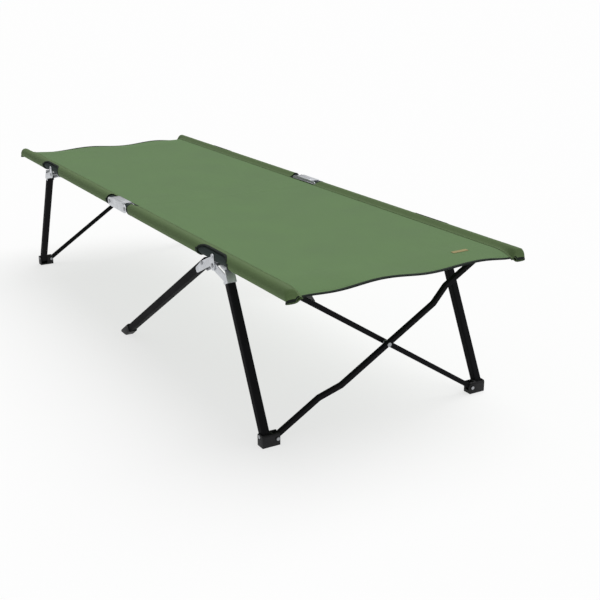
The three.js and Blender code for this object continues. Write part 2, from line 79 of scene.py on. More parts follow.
# the bed
CLOTH = 0.0009  # thickness of the canvas
BED_PITCH = 0.009  # of the bed's mesh
BED_SUNK = 0.0003  # its top under the CAD sheet's
SEAM_OVERLAP = 0.0015
BED_HALF = RAIL_Y - STRIP_IN + SEAM_OVERLAP
TUCK = 0.003  # the bed's middle reaches this far under its neighbours, so that no slit opens
TUCK_DEPTH = 1.4 * CLOTH
SAG = 0.007
SAG_LOST_AT_HEM = 0.35
BLOCK_RUN = 0.032  # how far along the bed it is drawn flatter beside a brace block
BLOCK_SHARE = 0.95  # of the sag, which is lost there at the bed's edge
PULL = 0.0009  # height of the slanting pulls
PULL_PITCH = (0.31, 0.9)  # and their pitch along and across
RIPPLE = 0.0005
HEM_RUN = 0.09  # the hem's own wave fades over this length
HEM_WAVE = 0.0042
HEM_WAVE_PITCH = 0.27
HEM_WAVE_SHIFT = 0.07
HEM_DROP = 0.0026
HEM_BOW = 0.0015  # the hem's plan is a little bowed, with a smaller wave on it
HEM_PLAN_WAVE = 0.0012
HEM_PLAN_PITCH = 0.19
HEM_TAPE_WIDTH = 0.0065
HEM_TAPE_R = 0.0019
HEM_STITCHES_IN = 0.0105  # from the hem to its row of stitches
DROOP = 0.011  # the bed's corners are drawn down round the ends of the rails
DROOP_RUN = 0.055
DROOP_MIDDLE = 0.15  # share of the droop at the middle of the hem

# the side sleeves, whose angles go from inward over the top
SLEEVE_EASE = 0.0002  # of the sleeve's radius inside the CAD sleeve's
STRIP_LIFT = 0.0006  # of the sewn strip's top above the bed
STRIP_THICK = 0.0026  # two layers with their filling
STRIP_ROUND = (0.0016, 0.0009)  # run and drop of the strip's rounded inner edge
STRIP_PUFF = 0.0002
SLEEVE_BREATH = 0.010  # share by which the sleeve's radius varies
SLEEVE_DIP = 0.0005  # of the cloth between the strip and the rail
CROWN_EDGE = math.radians(110)  # the sleeve's edge in the leg windows
CORNER_EDGE = math.radians(168)  # and at the windows' rounded corners
CORNER_RUN = 0.034
SLANT_RUN = 0.0064  # length of the slanted cut at the middle hinge
SLANT_EDGE = math.radians(66)
BLOCK_TUCK = math.radians(42)  # the sleeve is drawn up beside a brace block
BLOCK_TUCK_RUN = 0.016
CREASE = 0.00025
CREASE_PITCH = 0.023
SLEEVE_FULL = sleeve_high.x + 0.0045  # where the sleeve starts to close over the rail's plug
SLEEVE_TIP = rail_high.x + 0.0072
TIP_POWER = 2.2
TIP_SHARE = 0.09  # of its height, which is left where the sleeve's end is sewn flat
TIP_BLEND = 0.012  # from the strip, which isn't lowered, to the sleeve, which is

# tapes and stitches
TAPE = 0.0075
END_TAPE_OVER = 0.0003  # how far the flat tapes stand over the sleeve: at the middle hinge,
WINDOW_TAPE_OVER = 0.0007  # beside a leg window
TIP_TAPE_OVER = 0.0008  # and at the closed tip
TAPE_OUT = 0.0008  # how far a folded tape stands outside and inside the sleeve
TAPE_IN = 0.0012
STRIP_TAPE_R = 0.0019
STRIP_TAPE_REACH = 0.004
SEAM_INSETS = (0.0015, 0.0042)
STITCH_FREE = 0.009  # the strip has no stitches this near to a middle hinge's pin, where it creases

# the tag, and the pins that hold the legs in their shoes
TAG_CENTRE = (0.872, 0.193)
TAG_HALF = (0.006, 0.0215)
PIN_X = 0.830
PIN_Z = 0.0235
PIN_HEAD = (0.0045, 0.0014)  # radius and height

# the stage and the camera
WHITE = (1, 1, 1, 1)
FLOOR_HALF = 90.0
FLOOR_COLOUR = (0.28, 0.28, 0.28, 1)
FLOOR_GLOW = 0.7
SKY_STRENGTH = 0.36
SOFTBOX_STRENGTH = 2.35
SOFTBOX_SPREAD = math.radians(60)
SOFTBOX_FROM = (-0.15, 0.50, 1.0)
CAMERA_AT = (2.5955, -1.2545, 1.0136)
CAMERA_ANGLES = (59.457, 18.516, 0.04)  # azimuth, elevation and roll, in degrees
CAMERA_LENS = 59.54


def sleeve_runs():
    """The stretches of rail that the sleeve covers: [[start, end], [start, end]]."""
    top = RAIL_Z + 0.9 * SLEEVE_R
    vertices = frame["nodes"]["sleeve_left_foot_end"].data.vertices
    ends = sorted({round(v.co.x, 4) for v in vertices if v.co.z > top})
    return [ends[:2], ends[2:]]


(RUN_START, WINDOW_START), (WINDOW_STOP, RUN_STOP) = sleeve_runs()
SLANT_START = RUN_START - SLANT_RUN


# ------------------------------------------------------------------------------ materials
def add_node(tree, kind, sockets=None, **settings):
    made = tree.nodes.new(kind)
    for key, value in settings.items():
        setattr(made, key, value)
    for key, value in (sockets or {}).items():
        if isinstance(value, bpy.types.NodeSocket):
            tree.links.new(value, made.inputs[key])
        else:
            made.inputs[key].default_value = value
    return made


def new_material(name, **shader_sockets):
    made = bpy.data.materials.new(name)
    made.use_nodes = True
    shader = made.node_tree.nodes["Principled BSDF"]
    for key, value in shader_sockets.items():
        shader.inputs[key.replace("_", " ")].default_value = value
    return made, made.node_tree, shader


def noise_value(tree, vector, scale, detail=3.0, roughness=0.5):
    sockets = {"Vector": vector, "Scale": scale, "Detail": detail, "Roughness": roughness}
    return add_node(tree, "ShaderNodeTexNoise", sockets).outputs["Fac"]


def stretched(tree, vector, scale):
    return add_node(tree, "ShaderNodeMapping", {"Vector": vector, "Scale": scale}).outputs["Vector"]


def math_node(tree, operation, first, second=0.0):
    made = add_node(tree, "ShaderNodeMath", {0: first, 1: second}, operation=operation)
    return made.outputs["Value"]


def spread(tree, value, low, high, start=0.3, end=0.7):
    """value, mostly from start to end, spread from low to high"""
    sockets = {"Value": value, "From Min": start, "From Max": end, "To Min": low, "To Max": high}
    return add_node(tree, "ShaderNodeMapRange", sockets).outputs["Result"]


def colour_mix(tree, blend_type="MIX"):
    """A colour mix node: the node, its two colour inputs and its colour output."""
    made = tree.nodes.new("ShaderNodeMix")
    made.data_type = "RGBA"
    made.blend_type = blend_type
    first, second = (s for s in made.inputs if s.type == "RGBA")
    result = next(s for s in made.outputs if s.type == "RGBA")
    return made, first, second, result


def blended(tree, factor, first, second):
    made, first_in, second_in, result = colour_mix(tree)
    tree.links.new(factor, made.inputs["Factor"])
    first_in.default_value = (*first, 1)
    second_in.default_value = (*second, 1)
    return result


def multiplied(tree, first, second):
    made, first_in, second_in, result = colour_mix(tree, "MULTIPLY")
    made.inputs["Factor"].default_value = 1.0
    tree.links.new(first, first_in)
    tree.links.new(second, second_in)
    return result


def shade(colour, factor):
    return tuple(c * factor for c in colour)


def bump(tree, shader, height, strength, distance):
    sockets = {"Height": height, "Strength": strength, "Distance": distance}
    made = add_node(tree, "ShaderNodeBump", sockets)
    tree.links.new(made.outputs["Normal"], shader.inputs["Normal"])


def canvas(name, colour, thread=0.0012):
    """Plain-weave coated canvas. Its UVs are in metres, so the threads have their real size."""
    sheen = {"Sheen_Weight": 0.04, "Sheen_Roughness": 0.5}
    made, tree, shader = new_material(name, Specular_IOR_Level=0.2, **sheen)
    metres = add_node(tree, "ShaderNodeUVMap", uv_map="UVMap").outputs["UV"]
    wave_scale = 2 * math.pi / (20 * thread)
    threads = [
        add_node(
            tree,
            "ShaderNodeTexWave",
            {"Vector": metres, "Scale": wave_scale, "Distortion": 0.6, "Detail": 1.0},
            bands_direction=direction,
        ).outputs["Fac"]
        for direction in ("X", "Y")
    ]
    weave = math_node(tree, "MULTIPLY", *threads)
    slubs = noise_value(tree, stretched(tree, metres, (14, 320, 1)), 1.0, 2.0)
    blotches = noise_value(tree, metres, 7.0, 4.0)
    tone = blended(tree, spread(tree, blotches, 0, 1), shade(colour, 0.94), shade(colour, 1.05))
    streaks = blended(tree, spread(tree, slubs, 0, 1), (0.95, 0.95, 0.95), (1, 1, 1))
    grain = blended(tree, spread(tree, weave, 0, 1, 0.0, 1.0), (0.9, 0.9, 0.9), (1.05, 1.05, 1.05))
    tinted = multiplied(tree, multiplied(tree, tone, streaks), grain)
    tree.links.new(tinted, shader.inputs["Base Color"])
    tree.links.new(spread(tree, blotches, 0.72, 0.86), shader.inputs["Roughness"])
    height = math_node(tree, "ADD", weave, math_node(tree, "MULTIPLY", slubs, 0.5))
    bump(tree, shader, height, 0.35, 0.0003)
    return made


def painted_tube(name, colour, wear=0.5):
    """Satin powder coat: an orange-peel skin, uneven gloss and a few paler rubs."""
    made, tree, shader = new_material(name, Specular_IOR_Level=0.03)
    place = add_node(tree, "ShaderNodeTexCoord").outputs["Object"]
    peel = noise_value(tree, place, 620.0, 2.0)
    cloud = noise_value(tree, place, 23.0, 4.0, 0.65)
    scuffs = noise_value(tree, stretched(tree, place, (4, 60, 9)), 3.0, 6.0, 0.7)
    rubs = spread(tree, scuffs, 0, wear, 0.58, 0.8)
    tone = blended(tree, rubs, colour, tuple(c * 1.8 + 0.006 for c in colour))
    tree.links.new(tone, shader.inputs["Base Color"])
    tree.links.new(spread(tree, cloud, 0.56, 0.72), shader.inputs["Roughness"])
    bump(tree, shader, peel, 0.12, 0.0003)
    return made


def plated_steel(name, colour, grain=(6, 240, 240)):
    """Zinc-plated sheet steel: rolled grain, cloudy brightness and a soft gloss."""
    made, tree, shader = new_material(name, Metallic=0.75)
    place = add_node(tree, "ShaderNodeTexCoord").outputs["Object"]
    rolled = noise_value(tree, stretched(tree, place, grain), 1.0, 4.0, 0.6)
    cloud = noise_value(tree, place, 38.0, 4.0, 0.6)
    tone = blended(tree, spread(tree, cloud, 0, 1), shade(colour, 0.86), shade(colour, 1.08))
    lines = blended(tree, spread(tree, rolled, 0, 1), (0.9, 0.9, 0.9), (1, 1, 1))
    tree.links.new(multiplied(tree, tone, lines), shader.inputs["Base Color"])
    tree.links.new(spread(tree, rolled, 0.32, 0.5), shader.inputs["Roughness"])
    bump(tree, shader, rolled, 0.08, 0.0002)
    return made


def moulded_plastic(name, colour):
    """Glass-filled nylon with a fine spark-eroded grain."""
    made, tree, shader = new_material(name, Specular_IOR_Level=0.25)
    place = add_node(tree, "ShaderNodeTexCoord").outputs["Object"]
    grain = noise_value(tree, place, 1400.0, 2.0)
    cloud = noise_value(tree, place, 60.0, 3.0)
    tone = blended(tree, spread(tree, cloud, 0, 1), shade(colour, 0.8), shade(colour, 1.35))
    tree.links.new(tone, shader.inputs["Base Color"])
    tree.links.new(spread(tree, grain, 0.5, 0.68), shader.inputs["Roughness"])
    bump(tree, shader, grain, 0.25, 0.0002)
    return made


def thread_material(name, colour):
    """Twisted sewing thread: short slanted strands along each stitch."""
    made, tree, shader = new_material(name, Roughness=0.7, Sheen_Weight=0.2)
    place = add_node(tree, "ShaderNodeTexCoord").outputs["Object"]
    twist = noise_value(tree, stretched(tree, place, (1500, 1500, 1500)), 1.0, 1.0)
    tone = blended(tree, spread(tree, twist, 0, 1), shade(colour, 0.7), shade(colour, 1.3))
    tree.links.new(tone, shader.inputs["Base Color"])
    bump(tree, shader, twist, 0.3, 0.0002)
    return made


GREEN = (0.128, 0.222, 0.090)
# The sleeves' canvas is the bed's own green made darker: painted shade for their sides, which face away
# from the overhead light.
SHADED_GREEN = (0.104, 0.166, 0.062)
materials = {
    "bed": canvas("bed_canvas", GREEN),
    # the sleeves' canvas is a darker copy of the bed's cloth, which is painted shade
    "sleeve": canvas("shaded_sleeve_canvas", SHADED_GREEN),
    "binding": canvas("binding_tape", (0.005, 0.011, 0.007), 0.0008),
    "tag": canvas("woven_tag", (0.36, 0.30, 0.14), 0.0006),
    "stitch": thread_material("sewing_thread", (0.165, 0.270, 0.115)),
    "frame": painted_tube("black_powder_coat", (0.0105, 0.0105, 0.0115)),
    "rail": painted_tube("slate_powder_coat", (0.040, 0.052, 0.050), 0.4),
    "steel": plated_steel("plated_steel", (0.66, 0.68, 0.71)),
    "rivet": plated_steel("rivet_steel", (0.40, 0.41, 0.43), (90, 90, 90)),
    "plastic": moulded_plastic("black_nylon", (0.009, 0.009, 0.010)),
}
SLOT_LOOK = {
    "frame_tube": "frame",
    "rail_tube": "rail",
    "bracket": "steel",
    "rivet": "rivet",
    "plastic": "plastic",
    "bed_sheet": "bed",
    "side_sleeve": "sleeve",
}


# ------------------------------------------------------------------------------ mesh helpers
def new_piece(name, bm, look, smooth=True):
    """A mesh piece from bm, with its material."""
    mesh = bpy.data.meshes.new(name)
    bmesh.ops.recalc_face_normals(bm, faces=bm.faces)
    bm.to_mesh(mesh)
    bm.free()
    if smooth:
        mesh.polygons.foreach_set("use_smooth", [True] * len(mesh.polygons))
        mesh.set_sharp_from_angle(angle=math.radians(40))
    piece = bpy.data.objects.new(name, mesh)
    bpy.context.scene.collection.objects.link(piece)
    mesh.materials.append(materials[look])
    return piece


def cloth_shell(rows, uv_rows, closed_ends=True):
    """A thin closed solid from a grid of (point, outward normal), CLOTH thick, with UVs in metres.

    rows[i][j] is a (point, normal) pair and uv_rows[i][j] its place on the flat cloth."""
    bm = bmesh.new()
    layer = bm.loops.layers.uv.new("UVMap")
    sides = []
    for offset in (0.0, -CLOTH):
        sides.append([[bm.verts.new(p + n * offset) for p, n in row] for row in rows])
    uv_of = {}
    for grid in sides:
        for row, uv_row in zip(grid, uv_rows):
            uv_of.update(zip(row, uv_row))
    count, width = len(rows), len(rows[0])
    faces = []
    for grid in sides:
        for i in range(count - 1):
            for j in range(width - 1):
                faces.append((grid[i][j], grid[i + 1][j], grid[i + 1][j + 1], grid[i][j + 1]))
    top, under = sides
    for j in range(width - 1):
        for i in (0, count - 1):
            faces.append((top[i][j], top[i][j + 1], under[i][j + 1], under[i][j]))
    for i in range(count - 1):
        for j in (0, width - 1):
            faces.append((top[i][j], top[i + 1][j], under[i + 1][j], under[i][j]))
    for corners in faces:
        face = bm.faces.new(corners)
        for loop in face.loops:
            loop[layer].uv = uv_of[loop.vert]
    return bm


def steps(start, stop, pitch):
    count = max(2, round(abs(stop - start) / pitch) + 1)
    return [start + (stop - start) * i / (count - 1) for i in range(count)]


# ------------------------------------------------------------------------------ bed sheet
def bed_height(x, y):
    """Top face of the stretched canvas: a shallow hammock, with slight pulls towards the rails. It is
    tauter beside the brace blocks, which swing up under it as the cot folds."""
    across = min(1.0, abs(y) / BED_HALF)
    over_block = math.exp(-(((abs(x) - BLOCK_X) / BLOCK_RUN) ** 2))
    hammock = SAG * (1 - across**2) * (1 - BLOCK_SHARE * over_block * across)
    slant = x / PULL_PITCH[0] + y / PULL_PITCH[1]
    pulls = PULL * (1 - across) * math.sin(2 * math.pi * slant)
    ripple = RIPPLE * noise.noise(Vector((x * 6, y * 9, 0.3))) * (1 - across**4)
    turn = 2 * math.pi * (y + HEM_WAVE_SHIFT) / HEM_WAVE_PITCH
    hem_wave = (HEM_WAVE * math.cos(turn) - HEM_DROP) * (1 - across**8)
    near_hem = max(0.0, 1 - (BED_END - abs(x)) / HEM_RUN) ** 2
    level = BED_TOP - BED_SUNK - droop(x, across)
    return level - hammock * (1 - SAG_LOST_AT_HEM * near_hem) + pulls + ripple + hem_wave * near_hem


def droop(x, across):
    """How far the bed hangs below its level near the hem, most at the corners."""
    near = max(0.0, 1 - (BED_END - abs(x)) / DROOP_RUN) ** 2
    return DROOP * near * (DROOP_MIDDLE + (1 - DROOP_MIDDLE) * across**4)


def hem_x(y):
    """Where the bed ends: the free hem is nearly straight between the rails."""
    inside = 1 - (abs(y) / BED_HALF) ** 2
    wave = HEM_PLAN_WAVE * math.sin(2 * math.pi * y / HEM_PLAN_PITCH + 0.8)
    return BED_END + (wave - HEM_BOW) * inside


def bed_point(x, y):
    """The canvas at x, where x beyond the bowed hem is drawn back to it."""
    span = BED_END - HINGE_X
    share = (abs(x) - HINGE_X) / span
    if share > 0:
        x = math.copysign(HINGE_X + share * (hem_x(math.copysign(y, x * y)) - HINGE_X), x)
    step = 0.002
    slope_x = (bed_height(x + step, y) - bed_height(x - step, y)) / (2 * step)
    slope_y = (bed_height(x, y + step) - bed_height(x, y - step)) / (2 * step)
    return Vector((x, y, bed_height(x, y))), Vector((-slope_x, -slope_y, 1)).normalized()


def bed_piece(name, start, stop, body):
    """One of the bed's three pieces. The middle one is tucked under the other two."""
    xs = steps(start, stop, BED_PITCH)
    ys = steps(-BED_HALF, BED_HALF, BED_PITCH)
    rows = [[bed_point(x, y) for y in ys] for x in xs]
    if body.endswith("middle_hinge"):
        for x, place in ((start - TUCK, 0), (stop + TUCK, len(rows) + 1)):
            lower = [bed_point(x, y) for y in ys]
            rows.insert(place, [(p - up * TUCK_DEPTH, up) for p, up in lower])
            xs.insert(place, x)
    uvs = [[(x, y) for y in ys] for x in xs]
    piece = new_piece(name, cloth_shell(rows, uvs), "bed")
    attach(piece, body)
    fold_with_bed(piece)
    return piece


def fold_with_bed(piece):
    """Gives the piece a mesh of its own."""
    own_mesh(piece)


BED_BODIES = {
    "foot": ("right_rail_foot_end", HINGE_X, BED_END),
    "middle": ("right_middle_hinge", -HINGE_X, HINGE_X),
    "head": ("right_rail_head_end", -BED_END, -HINGE_X),
}


def make_bed():
    """The bed in three pieces, which meet over the middle hinges' pins."""
    for part, (body, start, stop) in BED_BODIES.items():
        piece = bed_piece(f"bed_canvas_{part}", start, stop, body)
        if part != "middle":
            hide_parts(f"sheet_{part}_end")


# ------------------------------------------------------------------------------ side sleeves
def strip_level(x):
    """The top of the sewn strip above the rail's axis."""
    return BED_TOP - RAIL_Z + STRIP_LIFT - droop(x, 1.0)


def sleeve_radius(x):
    """The sleeve's radius at x, which breathes a little."""
    return (SLEEVE_R - SLEEVE_EASE) * (1 + SLEEVE_BREATH * noise.noise(Vector((x * 9, 1.7, 4.1))))


def tip_x(share):
    """Where the sleeve's end has this share of its height left."""
    return SLEEVE_FULL + (SLEEVE_TIP - SLEEVE_FULL) * (1 - share**2) ** (1 / TIP_POWER)


def lowered_over_plug(points, x, radius):
    """The sleeve's end: its top curves down over the rail's plug to a flat seam underneath."""
    past = min(1.0, max(0.0, (abs(x) - SLEEVE_FULL) / (SLEEVE_TIP - SLEEVE_FULL)))
    share = max(TIP_SHARE, math.sqrt(1 - past**TIP_POWER))
    lowered = []
    for a, h in points:
        weight = min(1.0, max(0.0, (STRIP_OUT - a) / TIP_BLEND))
        lowered.append((a, h + weight * (share - 1) * (h + radius)))
    return lowered


def sleeve_profile(x, last_angle=None):
    """The sleeve's section at x, as (inward, up) points from the rail's axis: out along the top of
    the sewn strip, round the rail and back along the strip's underside. With last_angle it stops
    there, on the outward side."""
    tuck = BLOCK_TUCK * math.exp(-(((abs(x) - BLOCK_X) / BLOCK_TUCK_RUN) ** 2))
    radius = sleeve_radius(x)
    strip_top = strip_level(x)
    strip_low = strip_top - STRIP_THICK
    crease = CREASE * math.sin(2 * math.pi * x / CREASE_PITCH + 3 * math.sin(x * 31))
    top_angle = tangent_angle(radius, strip_top, 1)
    low_angle = tangent_angle(radius, strip_low, -1) + tuck + 2 * math.pi
    run, drop = STRIP_ROUND
    points = [(STRIP_IN, strip_top - drop), (STRIP_IN - run, strip_top + STRIP_PUFF / 2)]
    points.append((STRIP_OUT, strip_top + STRIP_PUFF))
    start = polar(radius, top_angle)
    for share in (0.3, 0.65):
        dip = SLEEVE_DIP * math.sin(math.pi * share)
        inward = STRIP_OUT + (start[0] - STRIP_OUT) * share
        points.append((inward, strip_top + STRIP_PUFF + (start[1] - strip_top) * share - dip))
    stop = last_angle or low_angle
    count = 10 if last_angle else 32
    for i in range(count + 1):
        angle = top_angle + (stop - top_angle) * i / count
        reach = radius + crease * max(0.0, math.cos(angle - math.radians(40)))
        points.append(polar(reach, angle))
    if last_angle:
        return lowered_over_plug(points, x, radius)
    last = points[-1]
    points.append(((last[0] + STRIP_OUT) / 2, (last[1] + strip_low) / 2 - STRIP_PUFF))
    points.append((STRIP_OUT, strip_low))
    points.append((STRIP_IN, strip_low))
    return lowered_over_plug(points, x, radius)


def tangent_angle(radius, level, side):
    """Where cloth from the strip at this level meets a round of this radius, above or below."""
    distance = math.hypot(STRIP_OUT, level)
    return math.atan2(level, STRIP_OUT) + side * math.acos(min(1.0, radius / distance))


def window_edge(x):
    """The angle at which the cloth ends in a leg window, whose corners are rounded."""
    near = max(0.0, 1 - min(x - WINDOW_START, WINDOW_STOP - x) / CORNER_RUN)
    return CROWN_EDGE + (CORNER_EDGE - CROWN_EDGE) * near**2


def crown_profile(x):
    """In a leg window the sleeve only reaches over the rail's crown."""
    return sleeve_profile(x, window_edge(x))


def slant_edge(x):
    """The angle at which the cloth ends on its slanted cut beside the middle hinge."""
    share = 1 - (RUN_START - x) / SLANT_RUN
    return SLANT_EDGE + (CORNER_EDGE - SLANT_EDGE) * min(1.0, max(0.0, share)) ** 1.5


def slant_profile(x):
    return sleeve_profile(x, slant_edge(x))


def section_rows(xs, side, end, profile, grow=0.0):
    """Rows of (point, normal) for sections at each x, and their UVs."""
    rows, uvs = [], []
    for x in xs:
        flat = [Vector((a, h)) for a, h in profile(x)]
        row, uv_row, run = [], [], 0.0
        for i, p in enumerate(flat):
            before, after = flat[max(i - 1, 0)], flat[min(i + 1, len(flat) - 1)]
            along = (after - before).normalized()
            out = Vector((along.y, -along.x))
            run += (p - flat[max(i - 1, 0)]).length
            p = p + out * grow
            point = Vector((end * x, side * (RAIL_Y - p.x), RAIL_Z + p.y))
            row.append((point, Vector((0, -side * out.x, out.y))))
            uv_row.append((end * x, run))
        rows.append(row)
        uvs.append(uv_row)
    return rows, uvs


def join_into(bm, other):
    """Adds other's geometry to bm and frees it."""
    mesh = bpy.data.meshes.new("joining")
    other.to_mesh(mesh)
    other.free()
    bm.from_mesh(mesh)
    bpy.data.meshes.remove(mesh)


def make_sleeve(side_name, end_name):
    """One rail's sleeve, from the middle hinge's pin to its closed tip, with its bindings."""
    side, end = SIDES[side_name], ENDS[end_name]
    tip = [tip_x(share) for share in steps(1.0, TIP_SHARE, 0.07)]
    stretches = [
        (steps(HINGE_X, SLANT_START, 0.003), strip_profile),
        (steps(SLANT_START, RUN_START, 0.001), slant_profile),
        (steps(RUN_START, WINDOW_START, 0.006), sleeve_profile),
        (steps(WINDOW_START, WINDOW_STOP, 0.003), crown_profile),
        (steps(WINDOW_STOP, RUN_STOP, 0.006)[:-1] + tip, sleeve_profile),
    ]
    bm = bmesh.new()
    for xs, profile in stretches:  # the last one has the whole section
        rows, uvs = section_rows(xs, side, end, profile)
        join_into(bm, cloth_shell(rows, uvs))
        section = profile((xs[0] + xs[-1]) / 2)
    # the sleeve takes the darker copy of the bed's canvas, which is painted shade
    sleeve = new_piece(f"shaded_sleeve_canvas_{side_name}_{end_name}", bm, "sleeve")
    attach(sleeve, f"{side_name}_rail_{end_name}")
    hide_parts(f"sleeve_{side_name}_{end_name}")
    make_bindings(side_name, end_name)


def strip_profile(_):
    """The doubled edge of the bed, which alone crosses the cut-out at the middle hinge."""
    top = BED_TOP - RAIL_Z + 0.0003
    return [(STRIP_IN - 0.0004, top), (STRIP_OUT + 0.0006, top)]


def make_bindings(side_name, end_name):
    """Dark tape over the sleeve's cut edges: round its end at the middle hinge, along the strip
    there, round the leg window, and under its closed tip."""
    side, end = SIDES[side_name], ENDS[end_name]
    taped = [
        (steps(RUN_START, RUN_START + TAPE, 0.0015), lower_profile, END_TAPE_OVER),
        (steps(SLANT_START, RUN_START, 0.001), slant_tape_profile, 0.0),
        (steps(HINGE_X, SLANT_START, 0.002), edge_tape_profile, 0.0),
        (steps(WINDOW_START - TAPE, WINDOW_START, 0.0015), lower_profile, WINDOW_TAPE_OVER),
        (steps(WINDOW_START, WINDOW_STOP, 0.003), crown_tape_profile, 0.0),
        (steps(WINDOW_STOP, WINDOW_STOP + TAPE, 0.0015), lower_profile, WINDOW_TAPE_OVER),
        ([tip_x(share) for share in steps(0.3, TIP_SHARE, 0.05)], sleeve_profile, TIP_TAPE_OVER),
    ]
    bm = bmesh.new()
    for xs, profile, grow in taped:
        rows, uvs = section_rows(xs, side, end, profile, grow)
        join_into(bm, cloth_shell(rows, uvs))
    tape = new_piece(f"bound_edges_{side_name}_{end_name}", bm, "binding")
    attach(tape, f"{side_name}_rail_{end_name}")


def lower_profile(x):
    """The sleeve's section from the corner of a cut-out down and back to the strip."""
    section = sleeve_profile(x)
    first = next(i for i, (a, h) in enumerate(section) if math.atan2(h, a) >= CORNER_EDGE - 0.2)
    return section[first:]


def crown_tape_profile(x):
    return folded_tape(x, window_edge(x))


def slant_tape_profile(x):
    return folded_tape(x, slant_edge(x))


def folded_tape(x, edge):
    """Tape folded round the sleeve's edge, which is at this angle."""
    outer, inner = sleeve_radius(x) + TAPE_OUT, sleeve_radius(x) - TAPE_IN
    middle, half = (outer + inner) / 2, (outer - inner) / 2
    back = 0.7 * TAPE / outer
    points = []
    for i in range(7):
        points.append(polar(outer, edge - back * (1 - i / 6)))
    for i in range(1, 6):
        turn = math.pi * i / 6
        points.append(polar(middle + half * math.cos(turn), edge + half / outer * math.sin(turn)))
    for i in range(4):
        points.append(polar(inner, edge - back * 0.6 * i / 3))
    return points


def polar(radius, angle):
    return radius * math.cos(angle), radius * math.sin(angle)


def edge_tape_profile(_):
    """Tape folded round the outward edge of the sewn strip."""
    middle = BED_TOP - RAIL_Z - 0.0008
    turns = [math.radians(80 + 200 * i / 10) for i in range(11)]
    round_edge = [polar(STRIP_TAPE_R, t) for t in turns]
    bend = [(STRIP_OUT + a, middle + h) for a, h in round_edge]
    inner = STRIP_OUT + STRIP_TAPE_REACH
    return [(inner, bend[0][1]), *bend, (inner, bend[-1][1])]


def make_hinge_strip(side_name):
    """The strip, its tape and its stitches between the two pins of a middle hinge."""
    side, body = SIDES[side_name], f"{side_name}_middle_hinge"
    xs = steps(-HINGE_X, HINGE_X, 0.006)
    for name, profile, look in (
        # the strip takes the sleeves' darker canvas, which is painted shade
        ("hinge_strip", strip_profile, "sleeve"),
        ("hinge_tape", edge_tape_profile, "binding"),
    ):
        rows, uvs = section_rows(xs, side, 1, profile)
        piece = new_piece(f"{name}_{side_name}", cloth_shell(rows, uvs), look)
        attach(piece, body)
    bm = bmesh.new()
    stitched = steps(STITCH_FREE - HINGE_X, HINGE_X - STITCH_FREE, 0.006)
    for inset in SEAM_INSETS:
        join_into(bm, seam_row(stitched, side, 1, inset))
    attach(new_piece(f"hinge_stitches_{side_name}", bm, "stitch"), body)


# ------------------------------------------------------------------------------ hems, stitches, tag
def stitch_line(points, normals, length=0.0032, gap=0.0014, radius=0.00026):
    """Sunken-ended stitches along a line of points, each a small six-sided loaf of thread."""
    bm = bmesh.new()
    travelled, pitch = 0.0, length + gap
    marks = [0.0]
    for a, b in zip(points, points[1:]):
        marks.append(marks[-1] + (b - a).length)
    total = marks[-1]

    def place(distance):
        distance = min(max(distance, 0.0), total - 1e-7)
        i = next(k for k in range(len(marks) - 1) if marks[k + 1] > distance)
        t = (distance - marks[i]) / (marks[i + 1] - marks[i])
        return points[i].lerp(points[i + 1], t), normals[i].lerp(normals[i + 1], t).normalized()

    while travelled + length < total:
        rings = []
        for share in (0.0, 0.18, 0.5, 0.82, 1.0):
            centre, up = place(travelled + share * length)
            ahead, _ = place(travelled + share * length + 0.0002)
            behind, _ = place(travelled + share * length - 0.0002)
            along = (ahead - behind).normalized()
            sideways = along.cross(up)
            lift = radius * (0.9 * math.sin(math.pi * share) - 0.35)
            thick = radius * (0.55 + 0.45 * math.sin(math.pi * share))
            ring = []
            for k in range(6):
                turn = math.pi * k / 3
                out = 1.25 * thick * math.cos(turn)
                ring.append(bm.verts.new(centre + sideways * out + up * (thick * math.sin(turn) + lift)))
            rings.append(ring)
        for a, b in zip(rings, rings[1:]):
            for k in range(6):
                bm.faces.new((a[k], a[(k + 1) % 6], b[(k + 1) % 6], b[k]))
        bm.faces.new(rings[0][::-1])
        bm.faces.new(rings[-1])
        travelled += pitch
    return bm


def seam_row(xs, side, end, inset):
    """A row of stitches along the sewn strip, this far from its inner edge."""
    points = []
    for x in xs:
        level = RAIL_Z + strip_level(x) + 0.0003
        points.append(Vector((end * x, side * (RAIL_Y - STRIP_IN + inset), level)))
    return stitch_line(points, [Vector((0, 0, 1))] * len(points))


def make_seam_stitches(side_name, end_name):
    """Two rows of stitches along the sewn strip."""
    bm = bmesh.new()
    for inset in SEAM_INSETS:
        xs = steps(HINGE_X + STITCH_FREE, RUN_STOP - 0.001, 0.01)
        join_into(bm, seam_row(xs, SIDES[side_name], ENDS[end_name], inset))
    name = f"seam_stitches_{side_name}_{end_name}"
    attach(new_piece(name, bm, "stitch"), f"{side_name}_rail_{end_name}")


